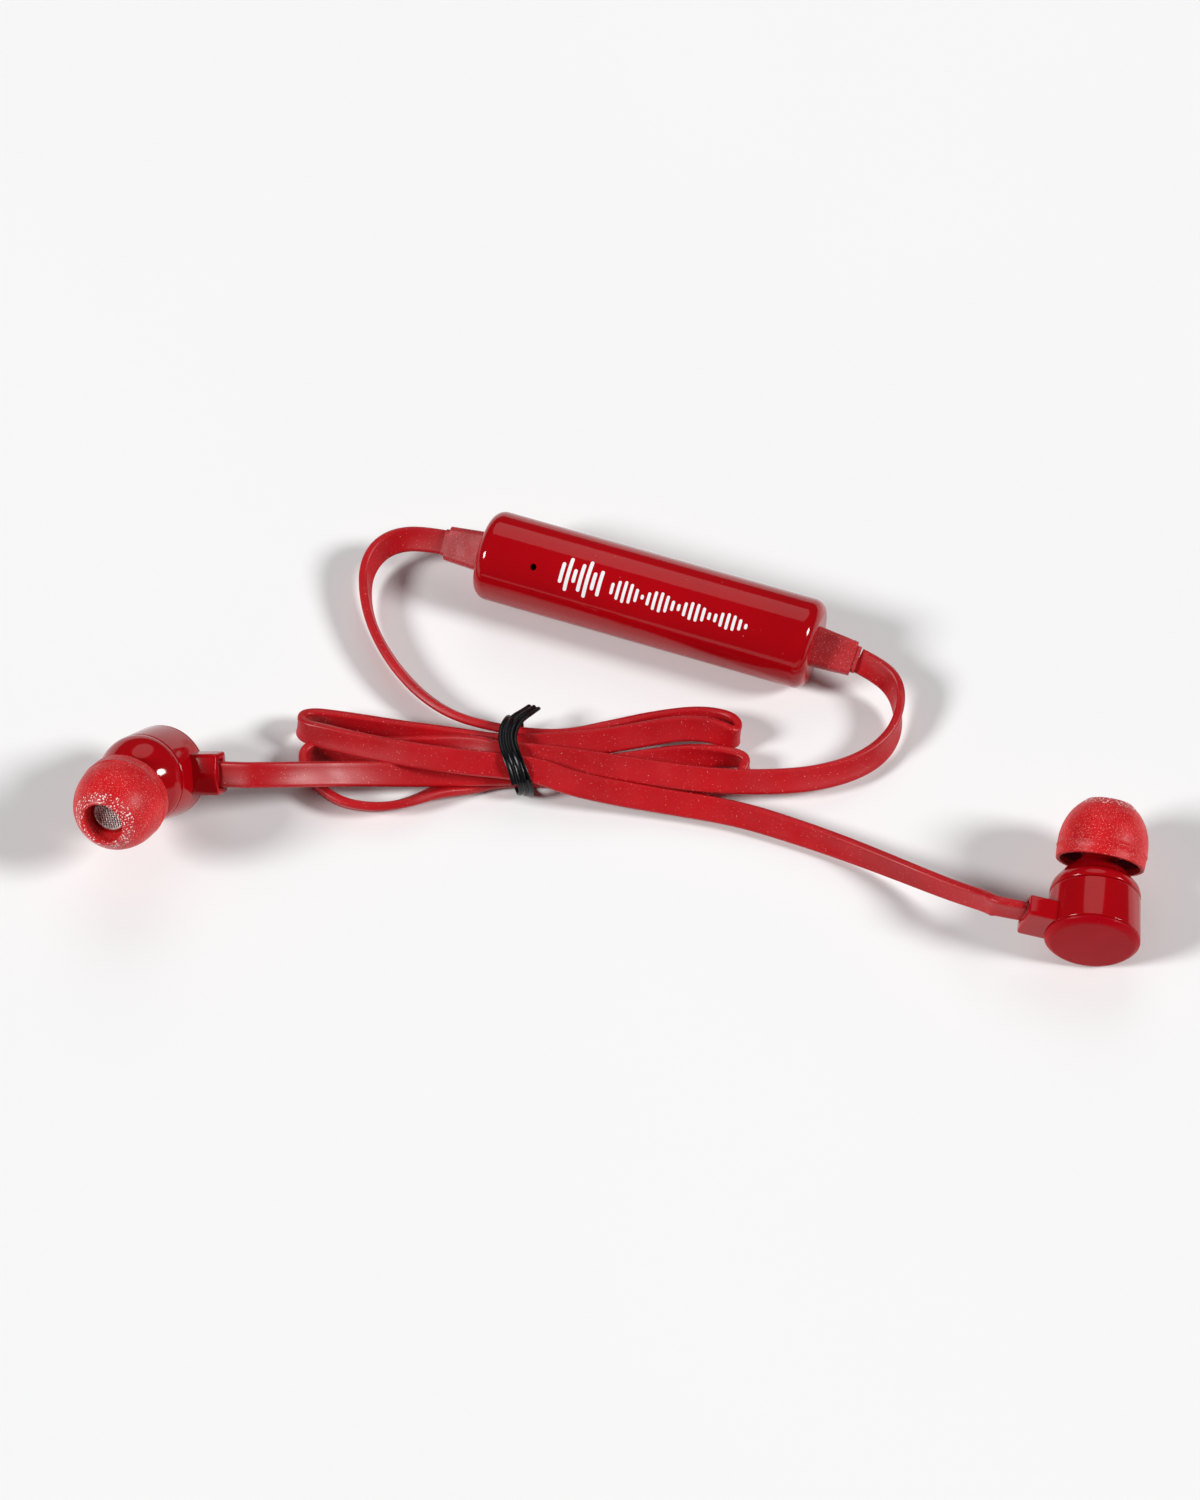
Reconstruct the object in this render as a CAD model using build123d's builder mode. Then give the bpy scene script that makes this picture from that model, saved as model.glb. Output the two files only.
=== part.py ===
"""Cord-linked earphones: two in-ear buds joined through a round control module by flat cords.

Millimetres, +Z up. The origin is on the resting surface, under the middle of the module and
the buds. The set lies as it is stored: the cords folded into a flat hank in front of the
module and held by a twist tie, with one bud at each side.
"""
from build123d import *
from math import cos, pi, radians, sin, sqrt, tan
import os

os.makedirs("parts", exist_ok=True)

# ---- control module ----
pod_length = 47.5
pod_radius = 6.2
pod_end_round = 1.8
pod_wall = 1.0
pod_place = (5.2, 21.2)        # middle of the module, seen from above
pod_yaw = -19.2                # degrees about +Z
pod_face_rise = 60             # how far the printed side is turned up from level, degrees
key_flat = 5.7                 # distance of the key flat from the module's axis
key_flat_half_length = 17.0
cavity_radius = pod_radius - pod_wall
cavity_floor = key_flat - pod_wall

mic_hole_radius = 0.45
mic_place = (-15.4, -0.5)
mic_height = 1.1
board_thickness = 0.8
board_length = 41.0
board_width = 8.2
key_spacing = 7.0
key_length = 4.6
key_width = 2.9
key_proud = 0.35
key_gap = 0.15
key_lip = 0.45
switch_height = 1.8
socket_along = 13.2
socket_size = (7.5, 5.0, 2.6)
light_along = -12.2

# ---- strain reliefs at the module's ends ----
relief_length = 5.25
relief_root = (5.5, 3.0)
relief_tip = (4.7, 2.6)
collar_length = 0.6
collar_size = (3.7, 2.2)
tenon_size = (4.2, 2.0)
relief_sideways = -0.03        # slope of a relief across the module
relief_backwards = -0.1        # slope of a relief away from the printed side

# ---- buds; each bud's frame has z from its back to its front and x along its neck ----
left_bud_place = (-59.1, -5.0, 4.1)
left_bud_front = (-0.34, -0.639, 0.69)
left_bud_neck = (0.939, -0.188, 0.289)
right_bud_place = (61.7, -33.1, 6.2)
right_bud_front = (0.12, 0.993, 0.004)
right_bud_neck = (-0.97, 0.075, 0.231)
nozzle_tilt = 18.5             # degrees, across the neck, opposite ways on the two buds
nozzle_root = 8.0              # where the nozzle's axis leaves the bud's axis

housing_back_radius = 6.2
housing_front_radius = 5.9
housing_wall = 0.95
cover_thickness = 0.9
cover_bevel = 0.6
seam = 7.1                     # where the front cap meets the housing
neck_reach = 9.3
neck_width = 5.5
neck_back = 0.9
neck_front = 4.5
neck_gable = 0.7
cord_level = 2.7               # the cord's middle above the bud's back

nozzle_radius = 2.5
nozzle_bore = 1.9
nozzle_end = 9.7
tip_clearance = 0.06
tip_rim = 3.8
tip_end = 12.1
tip_radius = 5.9
tip_skirt = 0.6
tip_mouth_radius = 2.8

# ---- cords: flat, 3.4 x 1.2 mm; the plain tubes have the same cross-section area ----
cord_width = 3.4
cord_thickness = 1.2
tube_radius = sqrt(cord_width * cord_thickness / pi)
lead_start = 3.6               # straight run out of a strain relief
hank_height = 5.6
waist_size = (10.0, 5.4)
waist_middle = (-1.8, 3.3)
waist_span = (-14.8, -9.8)
tie_span = (-13.3, -11.1)
tie_thickness = 0.5


def direction(frame, x, y, z):
    """A direction given in a frame's own axes."""
    return (frame.x_dir * x + frame.y_dir * y + frame.z_dir * z).normalized()


def square_to_x(frame, along):
    """Plane square to the frame's x axis; its x and y are the frame's y and z."""
    return Plane(
        origin=frame.from_local_coords((along, 0, 0)), x_dir=frame.y_dir, z_dir=frame.x_dir
    )


def lengthwise(frame):
    """Plane through the frame's x and z axes; its x and y are the frame's x and z."""
    return Plane(origin=frame.origin, x_dir=frame.x_dir, z_dir=-frame.y_dir)


def turned_profile(frame, points):
    """Closed outline in the frame's x-z plane, to be turned about the frame's z axis."""
    with BuildSketch(lengthwise(frame)) as outline:
        with BuildLine():
            Polyline(*points, close=True)
        make_face()
    return outline.sketch


def disc(frame, level, radius):
    with BuildSketch(frame.offset(level)) as circle:
        Circle(radius)
    return circle.sketch


def plate(frame, level, place, size, corner=0.0):
    """Rectangle on a plane parallel to the frame's x-y plane."""
    with BuildSketch(frame.offset(level)) as outline:
        with Locations(place):
            if corner:
                RectangleRounded(*size, corner)
            else:
                Rectangle(*size)
    return outline.sketch


def pill_profile(length, radius, end_round):
    """Half outline of the round-ended module in its own frame."""
    half = length / 2
    with BuildSketch(lengthwise(pod)) as outline:
        with BuildLine():
            Polyline((-half, radius - end_round), (-half, 0), (half, 0), (half, radius - end_round))
            RadiusArc((half, radius - end_round), (half - end_round, radius), -end_round)
            Line((half - end_round, radius), (end_round - half, radius))
            RadiusArc((end_round - half, radius), (-half, radius - end_round), -end_round)
        make_face()
    return outline.sketch


def save(part, name):
    part.label = name
    export_step(part, f"parts/{name}.step")


# ================= control module =================
# pod: x along the module, y towards the charging side, z out through the printed side
yaw = radians(pod_yaw)
rise = radians(pod_face_rise)
pod = Plane(
    origin=(pod_place[0], pod_place[1], pod_radius),
    x_dir=(cos(yaw), sin(yaw), 0),
    z_dir=(cos(rise) * sin(yaw), -cos(rise) * cos(yaw), sin(rise)),
)
pod_axis = Axis(pod.origin, pod.x_dir)
key_places = [-key_spacing, 0, key_spacing]
half_board = board_thickness / 2
socket_width, socket_depth, socket_height = socket_size
socket_middle = -half_board - socket_height / 2
socket_mouth = 5.3

with BuildPart() as pod_cavity:
    revolve(pill_profile(pod_length - 2 * pod_wall, cavity_radius, pod_end_round - pod_wall), axis=pod_axis)
    extrude(
        plate(pod, -cavity_floor, (0, 0), (2 * key_flat_half_length, 2 * pod_radius)),
        amount=-pod_wall,
        mode=Mode.SUBTRACT,
    )

with BuildPart() as pod_shell:
    revolve(pill_profile(pod_length, pod_radius, pod_end_round), axis=pod_axis)
    extrude(
        plate(pod, -key_flat, (0, 0), (2 * key_flat_half_length, 2 * pod_radius)),
        amount=-pod_wall,
        mode=Mode.SUBTRACT,
    )
    add(pod_cavity.part, mode=Mode.SUBTRACT)
    for side in (-1, 1):
        with BuildSketch(square_to_x(pod, side * (pod_length / 2 - 2 * pod_wall))):
            RectangleRounded(*tenon_size, 0.6)
        extrude(amount=side * 3 * pod_wall, mode=Mode.SUBTRACT)

with BuildPart() as front_shell:
    add(pod_shell.part)
    split(bisect_by=pod, keep=Keep.TOP)
    with BuildSketch(pod):
        with Locations(mic_place):
            Circle(mic_hole_radius)
    extrude(amount=2 * pod_radius, mode=Mode.SUBTRACT)
save(front_shell.part, "front_shell")

with BuildPart() as rear_shell:
    add(pod_shell.part)
    split(bisect_by=pod, keep=Keep.BOTTOM)
    with BuildSketch(pod):
        with Locations(*[(x, 0) for x in key_places]):
            RectangleRounded(key_length + 2 * key_gap, key_width + 2 * key_gap, 1.3)
        with Locations((light_along, 0)):
            Circle(0.75)
    extrude(amount=-2 * pod_radius, mode=Mode.SUBTRACT)
    port_plane = Plane(
        origin=pod.from_local_coords((socket_along, 3.0, socket_middle)),
        x_dir=pod.x_dir,
        z_dir=pod.y_dir,
    )
    with BuildSketch(port_plane):
        RectangleRounded(socket_width + 0.4, socket_height + 0.3, 0.9)
    extrude(amount=pod_radius, mode=Mode.SUBTRACT)
save(rear_shell.part, "rear_shell")

with BuildPart() as circuit_board:
    extrude(plate(pod, -half_board, (0, 0), (board_length, board_width), 1.0), amount=board_thickness)
save(circuit_board.part, "circuit_board")

with BuildPart() as battery_cell:
    extrude(plate(pod, half_board + 0.1, (3.0, 0), (26.0, 6.2), 0.8), amount=3.0)
    fillet(battery_cell.edges().filter_by(Axis(pod.origin, pod.x_dir)), 0.5)
save(battery_cell.part, "battery_cell")

with BuildPart() as charging_socket:
    socket_back = Plane(
        origin=pod.from_local_coords((socket_along, socket_mouth - socket_depth, socket_middle)),
        x_dir=pod.x_dir,
        z_dir=pod.y_dir,
    )
    with BuildSketch(socket_back):
        RectangleRounded(socket_width, socket_height, 0.8)
    extrude(amount=socket_depth)
    with BuildSketch(socket_back.offset(0.6)):
        RectangleRounded(socket_width - 0.6, socket_height - 0.6, 0.6)
    extrude(amount=socket_depth, mode=Mode.SUBTRACT)
    with BuildSketch(socket_back.offset(0.5)):
        Rectangle(3.9, 0.6)
    extrude(amount=socket_depth - 1.0)
save(charging_socket.part, "charging_socket")

with BuildPart() as radio_chip:
    extrude(plate(pod, -half_board, (-17.4, 0), (5.0, 5.0)), amount=-0.9)
save(radio_chip.part, "radio_chip")

with BuildPart() as antenna_chip:
    extrude(plate(pod, -half_board, (19.2, 0), (1.6, 3.2)), amount=-1.1)
save(antenna_chip.part, "antenna_chip")

with BuildPart() as key_switches:
    for x in key_places:
        extrude(plate(pod, -half_board, (x, 0), (3.0, 3.4), 0.3), amount=-switch_height)
        with BuildSketch(pod.offset(-half_board - switch_height)):
            with Locations((x, 0)):
                Circle(0.7)
        extrude(amount=-0.55)
save(key_switches.part, "key_switches")

# Each key: a cap through the shell, a lip that keeps it in, and a stem over its switch.
lip_top = cavity_floor - 0.05
stem_end = half_board + switch_height + 0.55 + 0.3
for name, x in zip(("volume_down_key", "play_key", "volume_up_key"), key_places):
    with BuildPart() as key:
        extrude(plate(pod, -key_flat - key_proud, (x, 0), (key_length, key_width), 1.2),
                amount=key_flat + key_proud - lip_top)
        fillet(key.faces().sort_by(Axis(pod.origin, pod.z_dir))[0].edges(), 0.25)
        extrude(plate(pod, -lip_top, (x, 0), (key_length + 1.0, key_width + 0.8), 1.2), amount=key_lip)
        with BuildSketch(pod.offset(-lip_top)):
            with Locations((x, 0)):
                Circle(0.8)
        extrude(amount=lip_top - stem_end)
    save(key.part, name)

with BuildPart() as status_light:
    extrude(plate(pod, -half_board, (light_along, 0), (1.6, 0.9)), amount=-0.6)
save(status_light.part, "status_light")

with BuildPart() as light_guide:
    with BuildSketch(pod.offset(-key_flat)):
        with Locations((light_along, 0)):
            Circle(0.7)
    extrude(amount=key_flat - half_board - 0.7)
save(light_guide.part, "light_guide")

with BuildPart() as microphone:
    extrude(plate(pod, half_board, mic_place, (3.6, 2.8), 0.3), amount=mic_height)
    with BuildSketch(pod.offset(half_board + mic_height)):
        with Locations(mic_place):
            Circle(0.4)
    extrude(amount=-0.6, mode=Mode.SUBTRACT)
save(microphone.part, "microphone")

with BuildPart() as microphone_boot:
    with BuildSketch(pod.offset(half_board + mic_height)):
        with Locations(mic_place):
            Circle(1.4)
            Circle(0.5, mode=Mode.SUBTRACT)
    extrude(amount=cavity_radius - 0.25 - half_board - mic_height)
save(microphone_boot.part, "microphone_boot")

# Rubber strain reliefs: a tapered flat block with a collar outside, a flange inside the shell.
relief_exits = {}
for name, side in (("left", -1), ("right", 1)):
    end = square_to_x(pod, side * pod_length / 2)
    heading = direction(pod, side, relief_sideways, relief_backwards)
    tip_plane = Plane(origin=end.origin + heading * relief_length, x_dir=pod.y_dir, z_dir=heading)
    with BuildPart() as relief:
        with BuildSketch(end):
            RectangleRounded(*relief_root, 0.7)
        with BuildSketch(tip_plane):
            RectangleRounded(*relief_tip, 0.7)
        loft()
        with BuildSketch(tip_plane):
            RectangleRounded(*collar_size, 0.5)
        extrude(amount=collar_length)
        with BuildSketch(end):
            RectangleRounded(*tenon_size, 0.6)
        extrude(amount=-side * pod_wall)
        with BuildSketch(square_to_x(pod, side * (pod_length / 2 - pod_wall))):
            RectangleRounded(5.2, 2.8, 0.6)
        extrude(amount=-side * 0.9)
    save(relief.part, f"{name}_strain_relief")
    relief_exits[name] = (tip_plane.origin + heading * collar_length, heading)


# ================= buds =================
def make_bud(name, bud, tilt):
    """One bud: its frame's z runs from back to front, x along the neck; tilt is in degrees."""
    bud_axis = Axis(bud.origin, bud.z_dir)

    def tilted(angle, along):
        """Plane square to the nozzle's direction at part or all of its tilt."""
        lean = radians(angle)
        heading = direction(bud, 0, sin(lean), cos(lean))
        root = bud.from_local_coords((0, 0, nozzle_root))
        return Plane(origin=root + heading * along, x_dir=bud.x_dir, z_dir=heading)

    nozzle = tilted(tilt, 0)
    nozzle_axis = Axis(nozzle.origin, nozzle.z_dir)
    inner_back = housing_back_radius - housing_wall
    inner_front = housing_front_radius - housing_wall

    with BuildPart() as housing:
        outline = [(0, cover_thickness), (housing_back_radius, cover_thickness),
                   (housing_front_radius, seam), (0, seam)]
        revolve(turned_profile(bud, outline), axis=bud_axis)
        with BuildSketch(square_to_x(bud, housing_front_radius - housing_wall)):
            with BuildLine():
                Polyline((-neck_width / 2, neck_back), (neck_width / 2, neck_back),
                         (neck_width / 2, neck_front - neck_gable), (0, neck_front),
                         (-neck_width / 2, neck_front - neck_gable), close=True)
            make_face()
        extrude(amount=neck_reach - housing_front_radius + housing_wall)
        neck_end = housing.faces().sort_by(Axis(bud.origin, bud.x_dir))[-1]
        fillet(neck_end.edges(), 0.4)
        cavity = [(0, cover_thickness), (inner_back, cover_thickness), (inner_front, seam), (0, seam)]
        revolve(turned_profile(bud, cavity), axis=bud_axis, mode=Mode.SUBTRACT)
        with BuildSketch(square_to_x(bud, 0)):
            with Locations((0, cord_level)):
                RectangleRounded(cord_width, cord_thickness, 0.55)
        extrude(amount=neck_reach, mode=Mode.SUBTRACT)
    save(housing.part, f"{name}_housing")

    with BuildPart() as back_cover:
        rim = housing_back_radius
        spigot = inner_back - 0.1
        outline = [(0, 0), (rim - cover_bevel, 0), (rim, cover_bevel), (rim, cover_thickness),
                   (spigot, cover_thickness), (spigot, 1.6), (spigot - 0.8, 1.6),
                   (spigot - 0.8, cover_thickness), (0, cover_thickness)]
        revolve(turned_profile(bud, outline), axis=bud_axis)
    save(back_cover.part, f"{name}_back_cover")

    # The cord's moulded end fills the slot in the neck and hooks behind the housing's wall.
    with BuildPart() as cord_anchor:
        with BuildSketch(square_to_x(bud, 4.2)):
            with Locations((0, cord_level)):
                RectangleRounded(cord_width, cord_thickness, 0.55)
        extrude(amount=neck_reach - 4.2)
        extrude(plate(bud, cord_level - 0.75, (3.5, 0), (1.8, 4.6), 0.3), amount=1.5)
    save(cord_anchor.part, f"{name}_cord_anchor")

    with BuildPart() as front_cap:
        skin = [(bud.offset(seam), 5.9), (bud.offset(seam + 1.2), 5.72),
                (tilted(tilt / 2, 1.8), 4.9), (tilted(tilt, 3.2), 3.3)]
        for plane, radius in skin:
            with BuildSketch(plane):
                Circle(radius)
        loft()
        extrude(disc(nozzle, 2.6, nozzle_radius), amount=nozzle_end - 2.6)
        hollow = [(bud.offset(seam), inner_front), (bud.offset(seam + 1.0), 4.75),
                  (tilted(tilt / 2, 1.0), 4.0), (tilted(tilt, 2.3), nozzle_bore)]
        for plane, radius in hollow:
            with BuildSketch(plane):
                Circle(radius)
        loft(mode=Mode.SUBTRACT)
        extrude(disc(nozzle, 2.2, nozzle_bore), amount=nozzle_end, mode=Mode.SUBTRACT)
        extrude(disc(nozzle, nozzle_end - 0.5, 2.2), amount=1.0, mode=Mode.SUBTRACT)
    save(front_cap.part, f"{name}_front_cap")

    with BuildPart() as grille:
        extrude(disc(nozzle, nozzle_end - 0.5, 2.2), amount=0.25)
        with BuildSketch(nozzle.offset(nozzle_end - 0.5)):
            with HexLocations(0.4, 3, 3, align=(Align.CENTER, Align.CENTER)):
                Circle(0.25)
        extrude(amount=0.25, mode=Mode.SUBTRACT)
    save(grille.part, f"{name}_grille")

    with BuildPart() as damper:
        extrude(disc(nozzle, 7.2, nozzle_bore - 0.05), amount=1.0)
    save(damper.part, f"{name}_damper")

    with BuildPart() as driver_frame:
        outline = [(3.0, 4.7), (4.2, 4.7), (4.85, 5.3), (4.85, 6.95), (4.45, 6.95), (4.45, 6.0),
                   (4.1, 5.3), (3.0, 5.3)]
        revolve(turned_profile(bud, outline), axis=bud_axis)
    save(driver_frame.part, f"{name}_driver_frame")

    with BuildPart() as driver_magnet:
        outline = [(0, 4.5), (2.95, 4.5), (2.95, 6.0), (2.6, 6.0), (2.6, 5.0), (2.0, 5.0),
                   (2.0, 6.0), (0, 6.0)]
        revolve(turned_profile(bud, outline), axis=bud_axis)
    save(driver_magnet.part, f"{name}_driver_magnet")

    with BuildPart() as voice_coil:
        outline = [(2.15, 5.2), (2.45, 5.2), (2.45, 6.35), (2.15, 6.35)]
        revolve(turned_profile(bud, outline), axis=bud_axis)
    save(voice_coil.part, f"{name}_voice_coil")

    with BuildPart() as diaphragm:
        with BuildSketch(lengthwise(bud)):
            with BuildLine():
                ThreePointArc((0, 7.0), (1.3, 6.85), (2.4, 6.5))
                ThreePointArc((2.4, 6.5), (3.4, 6.8), (4.4, 6.5))
                Polyline((4.4, 6.5), (4.4, 6.38), (2.4, 6.38), (0, 6.86), (0, 7.0))
            make_face()
        revolve(axis=bud_axis)
    save(diaphragm.part, f"{name}_diaphragm")

    # Mushroom-shaped silicone tip: sleeve, mouth, crown and a hollow skirt.
    with BuildPart() as ear_tip:
        sleeve = nozzle_radius + tip_clearance
        with BuildSketch(lengthwise(nozzle)):
            with BuildLine():
                Line((tip_radius - 0.1, tip_rim), (tip_radius, tip_end - 6.1))
                ThreePointArc((tip_radius, tip_end - 6.1), (5.25, tip_end - 2.6), (3.2, tip_end))
                Polyline((3.2, tip_end), (tip_mouth_radius, tip_end - 0.25),
                         (tip_mouth_radius, nozzle_end + 0.6), (sleeve, nozzle_end + 0.3),
                         (sleeve, tip_rim + 0.4), (3.3, tip_rim + 0.4), (3.3, tip_end - 1.6))
                ThreePointArc((3.3, tip_end - 1.6), (4.7, tip_end - 3.3), (tip_radius - tip_skirt, tip_end - 6.0))
                Line((tip_radius - tip_skirt, tip_end - 6.0), (tip_radius - tip_skirt, tip_rim))
                Line((tip_radius - tip_skirt, tip_rim), (tip_radius - 0.1, tip_rim))
            make_face()
        revolve(axis=nozzle_axis)
    save(ear_tip.part, f"{name}_ear_tip")
    print(f"{name} nozzle axis {tuple(round(v, 4) for v in nozzle.z_dir)}")
    return bud.from_local_coords((neck_reach, 0, cord_level)), bud.x_dir


left_bud = Plane(origin=left_bud_place, x_dir=left_bud_neck, z_dir=left_bud_front)
right_bud = Plane(origin=right_bud_place, x_dir=right_bud_neck, z_dir=right_bud_front)
left_neck_exit, left_heading = make_bud("left", left_bud, -nozzle_tilt)
right_neck_exit, right_heading = make_bud("right", right_bud, nozzle_tilt)


# ================= cords =================
def corner_radii(points):
    """As large an arc at each corner as its two runs allow."""
    radii = []
    for before, corner, after in zip(points, points[1:], points[2:]):
        run_in, run_out = corner - before, after - corner
        half_turn = radians(run_in.get_angle(run_out) / 2)
        radii.append(0.45 * min(run_in.length, run_out.length) / tan(half_turn))
    return radii


def make_lead(name, start, heading, rest_of_route):
    """Plain tube that starts straight out of its gland and follows the route's points."""
    points = [start, start + heading * lead_start] + [Vector(*p) for p in rest_of_route]
    radii = corner_radii(points)
    with BuildPart() as lead:
        with BuildLine() as path:
            FilletPolyline(*points, radius=radii)
        with BuildSketch(Plane(origin=start, z_dir=heading)):
            Circle(tube_radius)
        sweep()
    save(lead.part, name)
    length = path.wire().length
    area = pi * tube_radius**2
    print(f"{name}: {length:.1f} mm, radii {[round(r, 1) for r in radii]},",
          f"volume ratio {lead.part.volume / (area * length):.4f}")
    print("   points", [tuple(round(v, 1) for v in p) for p in points])


make_lead("left_module_lead", *relief_exits["left"], [
    (-30.7, 31.9, 4.4), (-33.6, 27.3, 3.3), (-33.2, 21.0, 2.7), (-30.4, 14.6, 2.5),
    (-26.2, 9.2, 2.5), (-20.6, 5.0, 2.6), (-15.1, 2.6, 2.7),
])
make_lead("right_module_lead", *relief_exits["right"], [
    (38.6, 7.2, 4.0), (38.1, 2.1, 3.0), (35.0, -2.2, 2.8), (30.0, -5.0, 2.9),
    (23.2, -6.3, 3.5), (17.0, -6.6, 4.2),
])
make_lead("left_bud_lead", left_neck_exit, left_heading, [
    (-41.5, -9.3, 9.6), (-34.9, -8.4, 8.2), (-28.3, -7.1, 6.2), (-21.7, -5.4, 3.7),
])
make_lead("right_bud_lead", right_neck_exit, right_heading, [
    (44.2, -26.3, 8.2), (39.2, -21.9, 5.2), (33.0, -17.3, 2.9), (25.5, -12.7, 1.9), (17.0, -9.3, 2.0),
])

# The folded cords: two lobes of loops and the waist that the tie pulls together.
waist_low, waist_high = (waist_middle[0] - waist_size[0] / 2, waist_middle[0] + waist_size[0] / 2)
left_lobe = [(waist_span[0] + 1, waist_high), (-27.5, 3.5), (-36.5, 4.9), (-41.0, 3.7), (-41.7, -0.1),
             (-41.4, -6.1), (-37.5, -7.3), (-32.5, -9.2), (-25.5, -8.8), (waist_span[0] + 1, waist_low)]
right_lobe = [(waist_span[1] - 1, waist_high), (6.5, 4.3), (15.5, 4.9), (18.8, 3.1), (19.4, -2.1),
              (19.2, -9.7), (15.5, -11.0), (2.5, -8.3), (waist_span[1] - 1, waist_low)]
with BuildPart() as cord_hank:
    for outline in (left_lobe, right_lobe):
        with BuildSketch() as lobe:
            with BuildLine():
                Polyline(*outline, close=True)
            make_face()
            fillet(lobe.vertices(), 0.9)
        extrude(amount=hank_height)
    with BuildSketch(Plane.YZ.offset(waist_span[0])):
        with Locations(waist_middle):
            RectangleRounded(*waist_size, 0.5)
    extrude(amount=waist_span[1] - waist_span[0])
save(cord_hank.part, "cord_hank")

with BuildPart() as twist_tie:
    with BuildSketch(Plane.YZ.offset(tie_span[0])):
        with Locations(waist_middle):
            RectangleRounded(waist_size[0] + 2 * tie_thickness, waist_size[1] + 2 * tie_thickness, 1.0)
            RectangleRounded(*waist_size, 0.5, mode=Mode.SUBTRACT)
        with BuildLine():
            Polyline((waist_high + 0.4, 2.2), (waist_high + 0.4, 3.2),
                     (waist_high + 1.4, 3.4), (waist_high + 1.4, 2.7), close=True)
        make_face()
    extrude(amount=tie_span[1] - tie_span[0])
save(twist_tie.part, "twist_tie")
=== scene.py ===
"""Red cord-linked earphones: two in-ear buds joined through a round control module by flat cords.

Lengths are millimetres in each part's own axes, and become metres through mm or a part's matrix.
"""

import bpy
import bmesh
from math import cos, pi, radians, sin, sqrt, tau
from mathutils import Matrix, Vector


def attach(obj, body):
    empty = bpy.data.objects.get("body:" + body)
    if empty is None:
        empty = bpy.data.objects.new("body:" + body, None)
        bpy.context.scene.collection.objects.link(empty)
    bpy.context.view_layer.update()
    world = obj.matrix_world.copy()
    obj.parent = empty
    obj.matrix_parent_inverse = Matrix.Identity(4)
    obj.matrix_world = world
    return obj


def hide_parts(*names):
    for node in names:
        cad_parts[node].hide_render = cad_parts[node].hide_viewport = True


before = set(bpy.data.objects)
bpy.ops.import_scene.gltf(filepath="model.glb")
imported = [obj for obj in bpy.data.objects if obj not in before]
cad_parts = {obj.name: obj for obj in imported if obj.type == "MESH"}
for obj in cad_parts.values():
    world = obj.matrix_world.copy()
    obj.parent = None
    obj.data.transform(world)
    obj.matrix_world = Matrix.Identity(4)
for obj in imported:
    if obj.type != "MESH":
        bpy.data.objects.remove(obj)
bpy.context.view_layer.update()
mm = 0.001
scene = bpy.context.scene

# ---- camera: from the front and above ----
view_target = Vector((-1.5, -1.1, 3.0)) * mm
view_distance = 555.6 * mm
view_elevation = radians(57)
camera_data = bpy.data.cameras.new("camera")
camera_data.lens = 100
camera_data.sensor_width = 36
camera_data.clip_start = 0.05
camera_data.clip_end = 5
camera = bpy.data.objects.new("camera", camera_data)
toward_camera = Vector((0, -cos(view_elevation), sin(view_elevation)))
camera.location = view_target + toward_camera * view_distance
camera.rotation_euler = (-toward_camera).to_track_quat("-Z", "Y").to_euler()
scene.collection.objects.link(camera)
scene.camera = camera


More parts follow.
